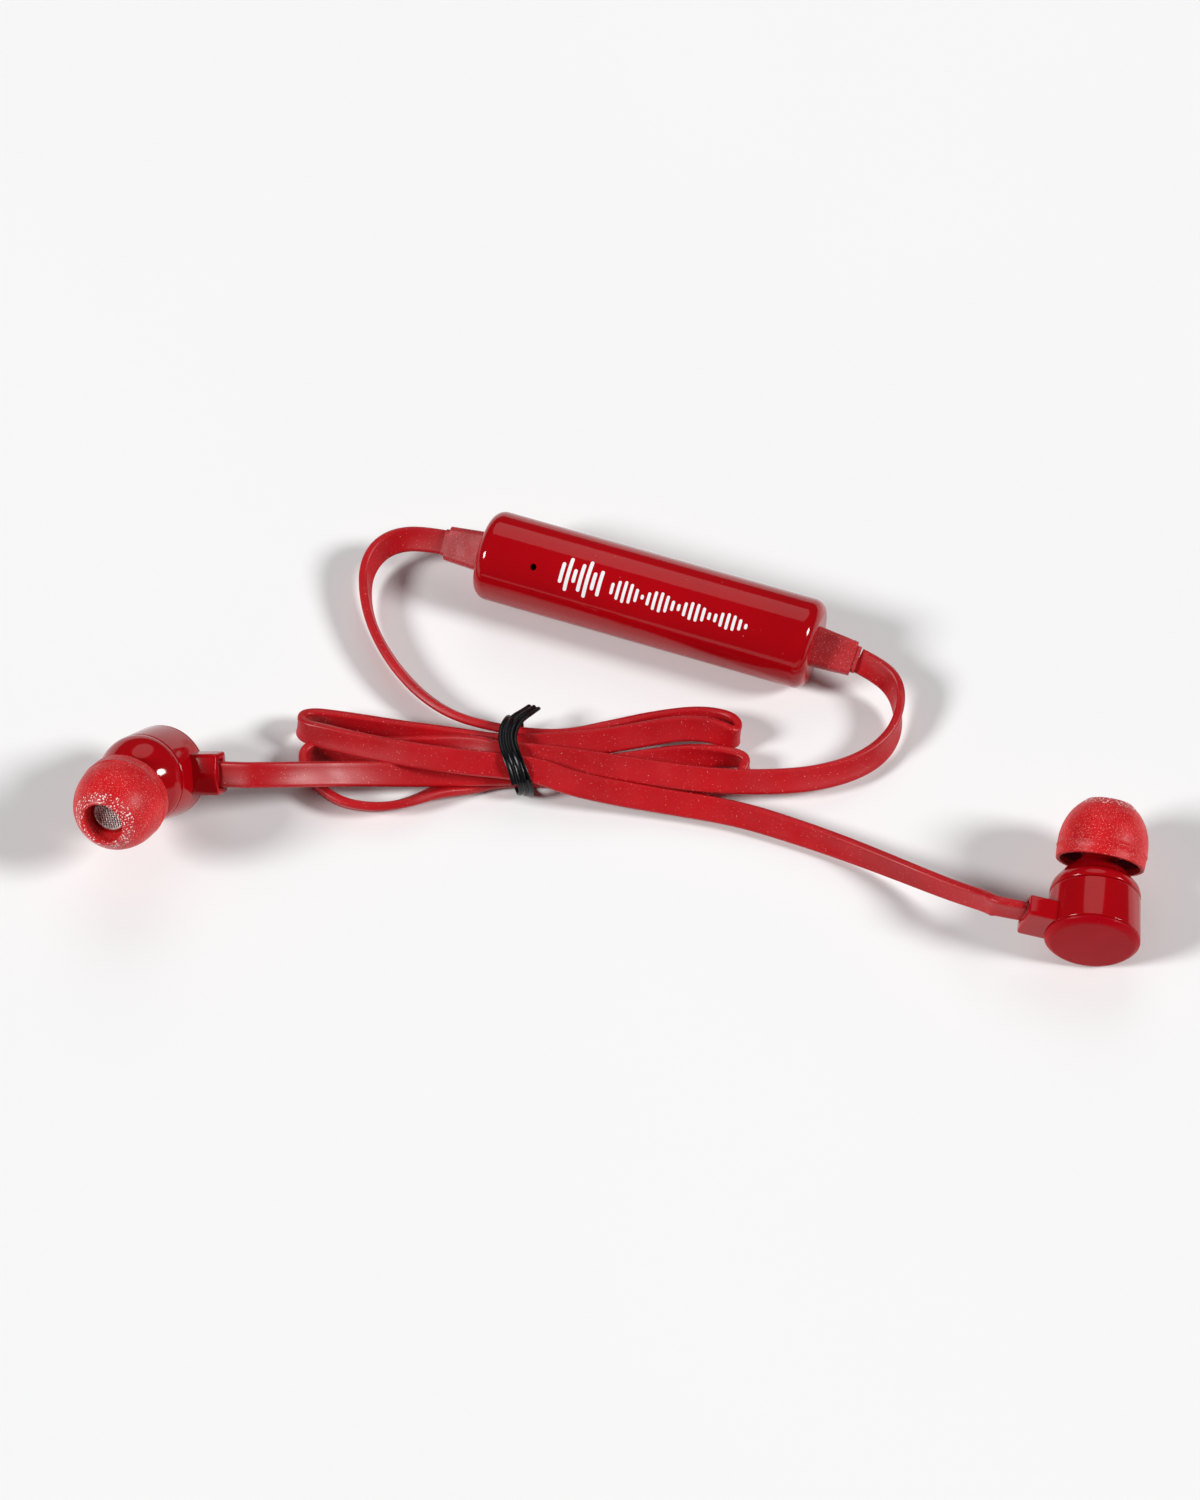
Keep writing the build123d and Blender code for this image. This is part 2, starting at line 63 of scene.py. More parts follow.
# ---- materials ----
def material(name, colour, shade=0.12, patch=120, rough=0.5, rough_spread=0.08, grain=0,
             grain_height=0.0, speck=None, speck_scale=4000, speck_share=0.62, coat=0.0, metallic=0.0,
             sheen=0.0, specular=0.5, transmission=0.0):
    """Principled material with uneven colour, uneven roughness, an optional grain and optional specks.

    patch, grain and speck_scale are noise scales per metre; shade is how far the colour varies either way.
    """
    patch_detail, rough_detail, grain_detail, speck_detail = 3, 4, 2, 1
    speck_edge, rough_patch, coat_rough = 0.08, 2.3, 0.04
    made = bpy.data.materials.new(name + "_look")
    made.use_nodes = True
    nodes, links = made.node_tree.nodes, made.node_tree.links
    shader = nodes["Principled BSDF"]
    place = nodes.new("ShaderNodeTexCoord").outputs["Object"]

    def noise(scale, detail):
        node = nodes.new("ShaderNodeTexNoise")
        node.inputs["Scale"].default_value = scale
        node.inputs["Detail"].default_value = detail
        links.new(place, node.inputs["Vector"])
        return node.outputs["Fac"]

    def mapped(value, low, high, start=0.3, end=0.7):
        node = nodes.new("ShaderNodeMapRange")
        links.new(value, node.inputs["Value"])
        node.inputs["From Min"].default_value = start
        node.inputs["From Max"].default_value = end
        node.inputs["To Min"].default_value = low
        node.inputs["To Max"].default_value = high
        return node.outputs["Result"]

    def mixed(factor, one, other):
        node = nodes.new("ShaderNodeMix")
        node.data_type = "RGBA"
        links.new(factor, node.inputs["Factor"])
        for socket, value in ((node.inputs["A"], one), (node.inputs["B"], other)):
            if isinstance(value, tuple):
                socket.default_value = (*value, 1)
            else:
                links.new(value, socket)
        return node.outputs["Result"]

    dark = tuple(c * (1 - shade) for c in colour)
    light = tuple(min(1, c * (1 + shade)) for c in colour)
    base = mixed(mapped(noise(patch, patch_detail), 0, 1), dark, light)
    if speck:
        spots = mapped(noise(speck_scale, speck_detail), 0, 1, speck_share, speck_share + speck_edge)
        base = mixed(spots, base, speck)
    links.new(base, shader.inputs["Base Color"])
    roughness = mapped(noise(patch * rough_patch, rough_detail), rough - rough_spread, rough + rough_spread)
    links.new(roughness, shader.inputs["Roughness"])
    if grain:
        bump = nodes.new("ShaderNodeBump")
        bump.inputs["Strength"].default_value = 1
        bump.inputs["Distance"].default_value = grain_height * mm
        links.new(noise(grain, grain_detail), bump.inputs["Height"])
        links.new(bump.outputs["Normal"], shader.inputs["Normal"])
    shader.inputs["Metallic"].default_value = metallic
    shader.inputs["Coat Weight"].default_value = coat
    shader.inputs["Coat Roughness"].default_value = coat_rough
    shader.inputs["Sheen Weight"].default_value = sheen
    shader.inputs["Specular IOR Level"].default_value = specular
    shader.inputs["Transmission Weight"].default_value = transmission
    return made


gloss_red = material("gloss_red", (0.36, 0.001, 0.004), shade=0.10, patch=60, rough=0.09,
                     rough_spread=0.03, grain=500, grain_height=0.003, coat=0.15, specular=0.25,
                     speck=(0.75, 0.30, 0.30), speck_scale=2600, speck_share=0.80)
cover_red = material("cover_red", (0.34, 0.001, 0.006), shade=0.08, patch=90, rough=0.34, grain=3000,
                     grain_height=0.004, specular=0.08, speck=(0.62, 0.16, 0.18), speck_scale=2600,
                     speck_share=0.78)
key_red = material("key_red", (0.38, 0.001, 0.005), patch=200, rough=0.24, rough_spread=0.04, coat=0.4)
relief_rubber = material("relief_rubber", (0.42, 0.008, 0.012), patch=300, rough=0.52, grain=7000,
                         grain_height=0.02, speck=(0.72, 0.16, 0.18), speck_scale=6000, speck_share=0.64,
                         sheen=0.15)
tip_silicone = material("tip_silicone", (0.56, 0.006, 0.010), shade=0.14, patch=220, rough=0.42,
                        grain=6500, grain_height=0.03, speck=(0.84, 0.28, 0.26), speck_scale=8000,
                        speck_share=0.63, specular=0.25)
cord_red = material("cord_red", (0.42, 0.004, 0.008), shade=0.14, patch=110, rough=0.40, rough_spread=0.07,
                    grain=5200, grain_height=0.012, speck=(0.78, 0.30, 0.28), speck_scale=5400,
                    speck_share=0.71, specular=0.35)
# Paler tip silicone with denser near-white specks, for the rolled lip of the mouth.
tip_pale_lip = material("tip_pale_lip", (0.52, 0.006, 0.010), shade=0.14, patch=220, rough=0.4,
                    grain=4500, grain_height=0.04, speck=(0.90, 0.72, 0.70), speck_scale=4200,
                    speck_share=0.585)
# Painted shade: a darker, bluer red of the tip silicone for the sleeve and the underside of the skirt.
tip_painted_shade = material("tip_painted_shade", (0.22, 0.002, 0.040), shade=0.2, patch=260, rough=0.38,
                      grain=5000, grain_height=0.02)
tie_black = material("tie_black", (0.004, 0.004, 0.005), shade=0.3, patch=500, rough=0.28, grain=2500,
                     grain_height=0.02, specular=0.3)
grille_mesh = material("grille_mesh", (0.80, 0.78, 0.76), shade=0.15, patch=900, rough=0.3,
                       metallic=0.7)
board_green = material("board_green", (0.02, 0.18, 0.07), patch=300, rough=0.4)
chip_black = material("chip_black", (0.02, 0.02, 0.02), patch=700, rough=0.5, grain=9000,
                      grain_height=0.01)
antenna_white = material("antenna_white", (0.75, 0.74, 0.70), shade=0.06, patch=500, rough=0.4)
cell_foil = material("cell_foil", (0.72, 0.72, 0.74), patch=200, rough=0.3, metallic=0.9, grain=800,
                     grain_height=0.03)
socket_steel = material("socket_steel", (0.60, 0.60, 0.60), patch=400, rough=0.3, metallic=1.0)
boot_black = material("boot_black", (0.03, 0.03, 0.03), patch=500, rough=0.6, grain=6000,
                      grain_height=0.02)
light_clear = material("light_clear", (0.80, 0.85, 0.95), shade=0.05, patch=900, rough=0.35,
                       transmission=0.6)
damper_foam = material("damper_foam", (0.12, 0.12, 0.12), shade=0.4, patch=3000, rough=0.9, grain=4000,
                       grain_height=0.08)
coil_copper = material("coil_copper", (0.70, 0.33, 0.18), patch=900, rough=0.35, metallic=1.0)
film_clear = material("film_clear", (0.72, 0.69, 0.58), shade=0.08, patch=500, rough=0.3)
print_white = material("print_white", (0.84, 0.84, 0.85), shade=0.04, patch=900, rough=0.36, grain=5000,
                       grain_height=0.006)

finishes = {
    gloss_red: ["front_shell", "rear_shell", "left_housing", "right_housing", "left_back_cover",
                "right_back_cover", "left_front_cap", "right_front_cap"],
    key_red: ["volume_down_key", "play_key", "volume_up_key"],
    relief_rubber: ["left_strain_relief", "right_strain_relief", "left_cord_anchor", "right_cord_anchor"],
    tip_silicone: ["left_ear_tip", "right_ear_tip"],
    cord_red: ["left_module_lead", "right_module_lead", "left_bud_lead", "right_bud_lead", "cord_hank"],
    tie_black: ["twist_tie"],
    grille_mesh: ["left_grille", "right_grille"],
    board_green: ["circuit_board"],
    chip_black: ["radio_chip", "key_switches"],
    antenna_white: ["antenna_chip", "status_light"],
    cell_foil: ["battery_cell"],
    socket_steel: ["charging_socket", "microphone", "left_driver_magnet", "right_driver_magnet"],
    boot_black: ["microphone_boot", "left_driver_frame", "right_driver_frame"],
    light_clear: ["light_guide"],
    damper_foam: ["left_damper", "right_damper"],
    coil_copper: ["left_voice_coil", "right_voice_coil"],
    film_clear: ["left_diaphragm", "right_diaphragm"],
}
for look, names in finishes.items():
    for node in names:
        cad = bpy.data.objects[node]
        cad.data.materials.clear()
        cad.data.materials.append(look)


# ---- mesh helpers ----
def piece(name, points, faces, look, body="root", sharp=35):
    """A mesh piece that rides on a body, shaded smooth but for edges sharper than the angle in degrees."""
    mesh = bpy.data.meshes.new(name)
    mesh.from_pydata([tuple(p) for p in points], [], faces)
    work = bmesh.new()
    work.from_mesh(mesh)
    bmesh.ops.recalc_face_normals(work, faces=work.faces)
    work.to_mesh(mesh)
    work.free()
    mesh.shade_smooth()
    mesh.set_sharp_from_angle(angle=radians(sharp))
    mesh.materials.append(look)
    obj = bpy.data.objects.new(name, mesh)
    scene.collection.objects.link(obj)
    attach(obj, body)
    return obj


def tube_faces(rings, around, closed=False):
    """Quads between rings of points, with a cap at each end unless the tube is closed."""
    faces = []
    for r in range(rings if closed else rings - 1):
        here, there = r * around, (r + 1) % rings * around
        for k in range(around):
            following = (k + 1) % around
            faces.append((here + k, here + following, there + following, there + k))
    if not closed:
        faces.append(tuple(range(around)))
        faces.append(tuple(range((rings - 1) * around, rings * around)))
    return faces


def line_through(name, points, steps):
    """Points along the NURBS spline whose control points are given."""
    data = bpy.data.curves.new(name, "CURVE")
    data.dimensions = "3D"
    data.resolution_u = steps
    spline = data.splines.new("NURBS")
    spline.points.add(len(points) - 1)
    for point, place in zip(spline.points, points):
        point.co = (*place, 1)
    spline.order_u = 3
    spline.use_endpoint_u = True
    holder = bpy.data.objects.new(name, data)
    mesh = bpy.data.meshes.new_from_object(holder)
    line = [v.co.copy() for v in mesh.vertices]
    bpy.data.objects.remove(holder)
    bpy.data.curves.remove(data)
    bpy.data.meshes.remove(mesh)
    return line


def flat_section(width, thickness, corner, lip=0.0, steps=5):
    """Outline of a flat cord: across and through it, with rounded edges that may stand proud as lips."""
    outline = []
    half, through, near_middle = width / 2, thickness / 2, 0.1
    for x, y, start in ((1, 1, 0), (-1, 1, 90), (-1, -1, 180), (1, -1, 270)):
        arc = []
        for k in range(steps + 1):
            a = radians(start + 90 * k / steps)
            arc.append((x * (half - corner) + corner * cos(a), y * (through - corner) + corner * sin(a)))
        flat = [(x * (half - 2.0 * corner), y * (through - lip)), (x * near_middle, y * (through - lip))]
        outline += arc + flat if start in (0, 180) else flat[::-1] + arc
    return outline


def heading_at(line, k):
    """Direction of a line at one of its points."""
    return (line[min(k + 1, len(line) - 1)] - line[max(k - 1, 0)]).normalized()


def ribbon_rings(line, leans, outline):
    """Rings of the outline along a line; a lean turns the outline about the line from level."""
    rings = []
    for k, centre in enumerate(line):
        heading = heading_at(line, k)
        level = Vector((0, 0, 1)).cross(heading).normalized()
        upright = heading.cross(level)
        across = level * cos(leans[k]) + upright * sin(leans[k])
        through = heading.cross(across)
        rings += [centre + (across * a + through * t) * mm for a, t in outline]
    return rings


# ---- cords: control points in mm and the lean of the flat section in degrees ----
right_bud_route = [
    (-22.7, 31.1, 5.6, -33), (-26.1, 32.0, 5.4, -38), (-29.6, 32.0, 4.9, -52), (-32.2, 30.5, 4.2, -66),
    (-33.6, 27.6, 3.4, -76), (-33.6, 23.9, 2.9, -80), (-32.8, 20.1, 2.6, -78), (-31.2, 16.2, 2.5, -71),
    (-28.8, 12.0, 2.5, -65), (-25.3, 7.7, 2.5, -61), (-20.9, 4.4, 2.6, -58), (-14.8, 2.5, 2.7, -56),
    (-9.5, 1.7, 2.6, -60), (-5.2, 1.7, 2.2, -75), (0.5, 2.7, 2.0, -105), (6.6, 4.1, 1.9, -122),
    (12.3, 4.8, 1.9, -128), (16.7, 3.5, 2.3, -112), (16.9, 0.3, 3.3, -80), (13.4, 1.4, 4.1, -46),
    (9.4, 1.6, 4.3, -40), (3.8, 0.5, 4.2, -36), (-2.2, -0.6, 4.0, -33), (-9.5, -0.9, 3.7, -29),
    (-14.8, -0.9, 3.4, -34), (-20.9, 0.9, 2.4, -52), (-28.3, 2.2, 2.3, -62), (-35.7, 3.7, 2.3, -70),
    (-41.2, 4.6, 2.4, -82), (-41.7, 1.6, 3.8, -106), (-38.0, -0.2, 4.8, -128), (-33.1, -1.8, 5.1, -136),
    (-26.7, -3.5, 5.5, -142), (-20.0, -4.6, 5.5, -148), (-14.8, -5.0, 5.3, -151), (-9.5, -5.6, 4.9, -152),
    (-5.5, -7.2, 4.4, -151), (1.1, -8.0, 3.0, -149), (7.1, -8.8, 2.4, -146), (16.4, -10.5, 2.2, -141),
    (23.3, -12.9, 2.1, -130), (30.7, -16.0, 2.2, -117), (37.7, -19.9, 3.2, -106), (44.0, -24.2, 5.2, -99),
    (48.2, -27.1, 7.2, -95), (49.4, -28.9, 8.9, -93), (53.0, -29.3, 8.4, -92),
]
left_bud_route = [
    (33.2, 11.6, 5.6, 30), (36.1, 10.1, 5.2, 40), (38.1, 8.1, 4.3, 64), (38.7, 5.1, 3.3, 86),
    (37.9, 1.6, 2.8, 104), (35.7, -1.5, 2.7, 122), (32.0, -4.0, 2.8, 133), (26.6, -5.8, 3.1, 141),
    (21.0, -6.6, 3.7, 146), (16.4, -6.9, 4.2, 148), (11.3, -6.6, 4.4, 149), (5.1, -5.6, 4.4, 150),
    (-1.5, -4.4, 4.5, 151), (-9.5, -3.2, 4.7, 151), (-14.8, -3.0, 4.8, 148), (-17.7, -1.8, 4.6, 140),
    (-22.8, -0.5, 2.9, 126), (-28.2, -0.2, 2.1, 118), (-34.2, -0.4, 1.9, 118), (-40.0, -0.1, 1.9, 98),
    (-41.4, -2.2, 2.0, 90), (-39.7, -5.5, 2.0, 100), (-36.2, -8.7, 2.0, 112), (-31.7, -9.6, 2.0, 120),
    (-27.3, -8.9, 1.9, 124), (-23.2, -6.8, 1.6, 135), (-19.1, -5.0, 0.9, 175), (-14.8, -4.0, 1.4, 200),
    (-9.5, -4.0, 1.4, 203), (-6.2, -4.0, 1.1, 192), (-1.5, -4.7, 0.9, 183), (3.8, -5.6, 0.9, 178),
    (9.1, -6.0, 1.1, 165), (13.4, -5.8, 1.4, 150), (17.3, -4.5, 1.8, 104), (18.3, -2.3, 2.3, 80),
    (15.1, -1.5, 2.2, 100), (9.8, -1.5, 2.1, 128), (4.5, -2.5, 2.2, 146), (-1.5, -3.8, 2.7, 156),
    (-9.5, -4.4, 2.7, 156), (-14.8, -4.5, 2.7, 153), (-18.8, -4.8, 2.9, 150), (-24.1, -4.8, 2.8, 149),
    (-29.4, -5.2, 3.4, 148), (-35.2, -6.2, 5.1, 147), (-40.9, -8.3, 8.2, 145), (-46.0, -9.4, 9.8, 141),
    (-48.2, -9.3, 9.6, 139), (-51.3, -8.5, 8.6, 138),
]
cord_width = 3.4
cord_thickness = 1.2
cord_edge_radius = 0.42
cord_edge_lip = 0.08
cord_section = flat_section(cord_width, cord_thickness, cord_edge_radius, lip=cord_edge_lip)
line_steps = 8


def make_cord(name, route, replaced):
    """A flat cord along its route whose ends go back into the object; it stands in for the CAD cord pieces it
    hides.
    """
    line = line_through(name + "_line", [Vector(p[:3]) * mm for p in route], line_steps)
    leans = [radians(v.x) for v in line_through(name + "_lean", [(p[3], 0, 0) for p in route], line_steps)]
    rings = ribbon_rings(line, leans, cord_section)
    obj = piece(name, rings, tube_faces(len(line), len(cord_section)), cord_red, sharp=50)
    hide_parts(*replaced)


make_cord("right_bud_cord", right_bud_route, ["left_module_lead", "right_bud_lead", "cord_hank"])
make_cord("left_bud_cord", left_bud_route, ["right_module_lead", "left_bud_lead"])


# ---- frames of the module and the buds, as in the CAD model ----
def frame_of(origin, x_axis, z_axis):
    """Matrix that takes millimetres in a part's own axes to metres in the scene."""
    z = Vector(z_axis).normalized()
    x = Vector(x_axis)
    x = (x - z * x.dot(z)).normalized()
    y = z.cross(x)
    turn = Matrix((x, y, z)).transposed().to_4x4()
    return Matrix.Translation(Vector(origin) * mm) @ turn @ Matrix.Scale(mm, 4)


module_radius = 6.2
module_swing = radians(19.2)
print_rise = radians(60)
module = frame_of((5.2, 21.2, module_radius), (cos(module_swing), -sin(module_swing), 0),
                  (-cos(print_rise) * sin(module_swing), -cos(print_rise) * cos(module_swing),
                   sin(print_rise)))
left_bud = frame_of((-59.1, -5.0, 4.1), (0.939, -0.188, 0.289), (-0.34, -0.639, 0.69))
right_bud = frame_of((61.7, -33.1, 6.2), (-0.97, 0.075, 0.231), (0.12, 0.993, 0.004))
buds = (("left", left_bud, -1), ("right", right_bud, 1))
nozzle_root = 8.0
nozzle_lean = radians(18.5)
points_round = 96


def nozzle_frame(bud, side, share=1.0):
    """The frame at the nozzle's root, turned by part or all of the nozzle's lean."""
    lean = Matrix.Rotation(-side * share * nozzle_lean, 4, "X")
    return bud @ Matrix.Translation((0, 0, nozzle_root)) @ lean


def circle(place, radius, height):
    """Points round the z axis of a frame."""
    angles = [tau * k / points_round for k in range(points_round)]
    return [place @ Vector((radius * cos(a), radius * sin(a), height)) for a in angles]


def corner_arc(start, corner, end, steps=4):
    """Points of a smooth arc from start to end that keeps inside the corner."""
    shares = [i / steps for i in range(steps + 1)]
    return [start * (1 - t) ** 2 + corner * 2 * t * (1 - t) + end * t * t for t in shares]


def rounded(points, radii):
    """Open outline with its corners turned into arcs of about the given radii; its ends stay."""
    result = [Vector(points[0])]
    most = 0.49
    for k in range(1, len(points) - 1):
        before, corner, after = (Vector(points[k + d]) for d in (-1, 0, 1))
        if radii[k] == 0:
            result.append(corner)
            continue
        start = corner + (before - corner).normalized() * min(radii[k], most * (before - corner).length)
        end = corner + (after - corner).normalized() * min(radii[k], most * (after - corner).length)
        result += corner_arc(start, corner, end)
    result.append(Vector(points[-1]))
    return result


def turned(name, place, outline, look, body="root", closed=False, sharp=35):
    """Outline of (radius, height) turned about the frame's z axis."""
    points = [p for radius, height in outline for p in circle(place, radius, height)]
    return piece(name, points, tube_faces(len(outline), points_round, closed), look, body, sharp)


# ---- ear tips: silicone mushrooms with a hollow skirt, a parting line and a rolled mouth ----
def make_tip(side_name, bud, side):
    """The outline runs up the outside, over the mouth, down the bore, up the sleeve and down the skirt."""
    skirt = [(5.32, 3.8), (5.55, 3.72), (5.78, 3.82), (5.84, 4.4), (5.88, 5.35), (5.96, 5.42), (5.96, 5.58),
             (5.90, 5.66), (5.90, 6.2), (5.86, 6.9), (5.76, 7.6), (5.60, 8.3), (5.36, 9.0), (5.04, 9.7),
             (4.64, 10.35), (4.16, 10.95), (3.66, 11.45), (3.30, 11.78), (3.08, 11.98), (2.90, 12.02),
             (2.78, 11.9), (2.74, 11.6), (2.72, 10.3), (2.56, 10.05), (2.56, 5.4), (2.75, 5.25), (3.1, 5.25),
             (3.28, 5.4), (3.30, 9.6), (3.42, 10.4), (3.9, 10.0), (4.45, 9.2), (4.95, 8.2), (5.22, 7.2),
             (5.30, 6.0), (5.26, 4.6)]
    tip = turned(f"{side_name}_tip", nozzle_frame(bud, side), skirt, tip_silicone, f"{side_name}_tip",
                 closed=True, sharp=60)
    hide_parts(f"{side_name}_ear_tip")
    # The rolled lip of the mouth takes the paler specked silicone.
    tip.data.materials.append(tip_pale_lip)
    # The sleeve and the underside of the skirt take the painted shade material.
    tip.data.materials.append(tip_painted_shade)
    mouth_bands, painted_shade_bands = range(15, 21), range(24, 35)
    for face in tip.data.polygons:
        rings = [v // points_round for v in face.vertices]
        if min(rings) in mouth_bands and max(rings) <= mouth_bands.stop:
            face.material_index = 1
        elif min(rings) in painted_shade_bands:
            face.material_index = 2


for bud_data in buds:
    make_tip(*bud_data)


# ---- buds: rounded housing with its back cover, front cap and gabled neck ----
def ring_shape(outline, count):
    """Even points along a closed outline of (across, height)."""
    loop = [Vector(p) for p in outline] + [Vector(outline[0])]
    lengths = [(b - a).length for a, b in zip(loop, loop[1:])]
    step, result, k, used = sum(lengths) / count, [], 0, 0.0
    for n in range(count):
        while n * step > used + lengths[k]:
            used += lengths[k]
            k += 1
        result.append(loop[k].lerp(loop[k + 1], (n * step - used) / lengths[k]))
    return result


def closed_round(points, radius):
    """Closed outline with every corner turned into an arc."""
    result = []
    for k, point in enumerate(points):
        before, corner, after = Vector(points[k - 1]), Vector(point), Vector(points[(k + 1) % len(points)])
        start = corner + (before - corner).normalized() * radius
        end = corner + (after - corner).normalized() * radius
        result += corner_arc(start, corner, end)
    return result


def make_barrel(side_name, bud):
    """Housing's drum: it narrows a little toward the front."""
    outline = [(4.6, 0.92), (6.06, 0.92), (6.19, 1.04), (6.06, 4.0), (5.93, 6.86), (5.80, 6.98), (5.6, 6.98)]
    barrel = rounded(outline, [0, 0.1, 0.1, 0, 0.12, 0.1, 0])
    housing = turned(f"{side_name}_barrel", bud, barrel, gloss_red, sharp=60)
    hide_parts(f"{side_name}_housing")


def make_cover(side_name, bud):
    """Flat back disc with a chamfered rim."""
    outline = [(0.02, 0.0), (5.45, 0.0), (6.16, 0.62), (6.16, 0.86), (5.2, 0.86)]
    cover = rounded(outline, [0, 0.35, 0.35, 0.06, 0])
    back = turned(f"{side_name}_cover", bud, cover, cover_red, sharp=70)
    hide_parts(f"{side_name}_back_cover")


def make_cap(side_name, bud, side):
    """Domed front that leans over into the nozzle; a station is (share of the lean, height, radius)."""
    stations = [(0.0, 7.06, 5.70), (0.0, 7.12, 5.88), (0.0, 7.30, 5.93), (0.0, 7.75, 5.90), (0.05, 8.3, 5.78),
                (0.2, 8.85, 5.52), (0.4, 9.4, 5.12), (0.6, 9.9, 4.78), (0.8, 10.4, 4.38), (0.95, 10.9, 3.88),
                (1.0, 11.35, 3.38), (1.0, 11.75, 3.02), (1.0, 12.0, 2.7), (1.0, 12.15, 2.5),
                (1.0, 16.9, 2.5), (1.0, 17.6, 2.46), (1.0, 17.7, 2.36), (1.0, 17.7, 2.22), (1.0, 17.1, 2.2)]
    points = []
    for share, height, radius in stations:
        points += circle(nozzle_frame(bud, side, share), radius, height - nozzle_root)
    sides = tube_faces(len(stations), points_round)[:-2]
    cap = piece(f"{side_name}_cap", points, sides, gloss_red, sharp=60)
    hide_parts(f"{side_name}_front_cap")


def make_neck(side_name, bud):
    """Gabled block that holds the cord in a dark slot; a row is (distance from the axis, ring, scale)."""
    half_width, foot, eave, ridge, corner = 2.75, 0.9, 3.8, 4.5, 0.32
    slot_half_width, slot_half_height, slot_level, count = 1.86, 0.78, 2.65, 80
    gable = closed_round([(-half_width, foot), (half_width, foot), (half_width, eave), (0, ridge),
                          (-half_width, eave)], corner)
    middle = Vector((0, slot_level))
    outer = ring_shape(gable, count)
    slot = []
    for p in outer:
        away = p - middle
        share = min(slot_half_width / max(abs(away.x), 1e-6), slot_half_height / max(abs(away.y), 1e-6))
        slot.append(middle + away * share)
    rows = ((5.2, outer, 1), (9.0, outer, 1), (9.14, outer, 0.985), (9.24, outer, 0.96),
            (9.3, outer, 0.92), (9.3, slot, 1.03), (9.22, slot, 1), (8.1, slot, 1))
    points = []
    for along, ring, shrink in rows:
        for p in ring:
            q = middle + (p - middle) * shrink
            points.append(bud @ Vector((along, q.x, q.y)))
    piece(f"{side_name}_neck", points, tube_faces(len(rows), count)[:-2], gloss_red, sharp=45)


for side_name, bud, side in buds:
    make_barrel(side_name, bud)
    make_cover(side_name, bud)
    make_cap(side_name, bud, side)
    make_neck(side_name, bud)


# ---- grilles: woven wires inside a thin ring ----
def make_grille(side_name, bud, side):
    place = nozzle_frame(bud, side)
    reach, level, pitch, crimp, steps, around = 2.12, 9.32, 0.34, 0.07, 26, 6
    points, faces = [], []
    count = int(reach / pitch)
    x_axis, y_axis = Vector((1, 0, 0)), Vector((0, 1, 0))
    for turn, (lengthwise, across, radius) in enumerate(((x_axis, y_axis, 0.05), (y_axis, x_axis, 0.10))):
        for n in range(-count, count + 1):
            off = n * pitch
            half = sqrt(reach * reach - off * off)
            first = len(points)
            for k in range(steps + 1):
                s = -half + 2 * half * k / steps
                height = level + crimp * cos(pi * (s / pitch + n + turn))
                centre = lengthwise * s + across * off + Vector((0, 0, height))
                for i in range(around):
                    a = tau * i / around
                    offset = across * radius * cos(a) + Vector((0, 0, radius * sin(a)))
                    points.append(place @ (centre + offset))
            faces += [tuple(first + i for i in face) for face in tube_faces(steps + 1, around)]
    weave = piece(f"{side_name}_woven_grille", points, faces, grille_mesh, sharp=80)
    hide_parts(f"{side_name}_grille")
    hoop = [(2.18, 9.15), (2.18, 9.55), (2.05, 9.62), (1.98, 9.5), (1.98, 9.2)]
    turned(f"{side_name}_grille_hoop", place, hoop, grille_mesh, closed=True)


for bud_data in buds:
    make_grille(*bud_data)


# ---- print on the module: a row of level bars and a fading wave, raised like screen ink ----
def make_print():
    points, faces = [], []
    ink, sunk = 0.035, 0.05

    def add_bar(middle, width, low, high):
        """Round-ended bar across the module, wrapped on its skin."""
        first, steps, end_steps, ends = len(points), 8, 3, width / 2
        turns = [pi / 2 * k / end_steps for k in range(end_steps + 1)]
        rows = [(low + ends * (1 - cos(a)), ends * sin(a)) for a in turns]
        rows += [(low + ends + (high - low - 2 * ends) * k / steps, ends) for k in range(1, steps)]
        rows += [(high - ends * (1 - cos(a)), ends * sin(a)) for a in reversed(turns)]
        for arc, half in rows:
            a = arc / module_radius
            for radius in (module_radius - sunk, module_radius + ink):
                for x in (middle - half, middle + half):
                    points.append(module @ Vector((x, radius * sin(a), radius * cos(a))))
        for r in range(len(rows) - 1):
            b = first + 4 * r
            faces.extend([(b + 2, b + 3, b + 7, b + 6), (b, b + 2, b + 6, b + 4),
                          (b + 1, b + 5, b + 7, b + 3)])

    tall_start, tall_pitch, tall_width = -11.4, 0.9, 0.5
    tall_bars = ((-1.6, 1.3), (-2.5, 2.2), (-1.1, 0.8), (-2.1, 1.8), (-2.7, 2.5), (-1.4, 1.1), (-2.0, 1.6))
    for k, (low, high) in enumerate(tall_bars):
        add_bar(tall_start + tall_pitch * k, tall_width, low, high)
    wave_start, wave_pitch, wave_width, wave_level, wave_count = -4.2, 0.86, 0.42, -0.4, 23
    for k in range(wave_count):
        reach = 0.32 + 1.25 * abs(sin(0.55 * k + 0.4)) * (1 - 0.018 * k)
        add_bar(wave_start + wave_pitch * k, wave_width, wave_level - reach, wave_level + reach)
    piece("sound_print", points, faces, print_white, sharp=30)


make_print()

